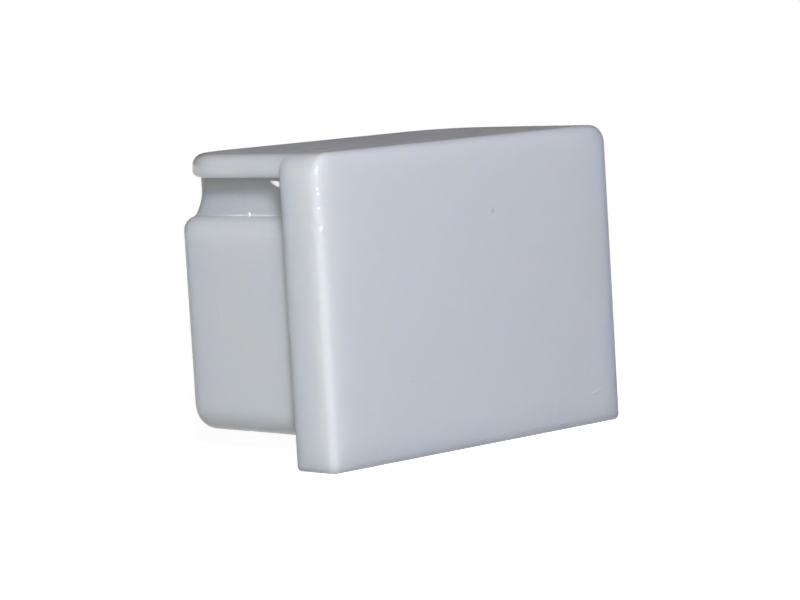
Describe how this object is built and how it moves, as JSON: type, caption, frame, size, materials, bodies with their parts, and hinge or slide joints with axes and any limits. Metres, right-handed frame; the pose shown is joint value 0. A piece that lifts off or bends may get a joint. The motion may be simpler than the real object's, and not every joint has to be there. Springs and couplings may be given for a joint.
{
  "type": "profile end cap",
  "caption": "Push-in end cap for a small channel profile: rectangular cover plate, solid plug with a groove along each upper side, and a flat top lip with rounded corners.",
  "frame": {"origin": "middle of the cover plate's outline, in the plane of its rear face, where the cut end of the profile seats", "axes": "+X across the profile, +Y along the plug into the profile, so -Y is the side that shows, +Z towards the top lip"},
  "size_m": [0.0162, 0.0094, 0.0122],
  "materials": {
    "grey_plastic": "satin, as moulded"
  },
  "bodies": {
    "root": {"end_cap": "grey_plastic"}
  },
  "joints": []
}
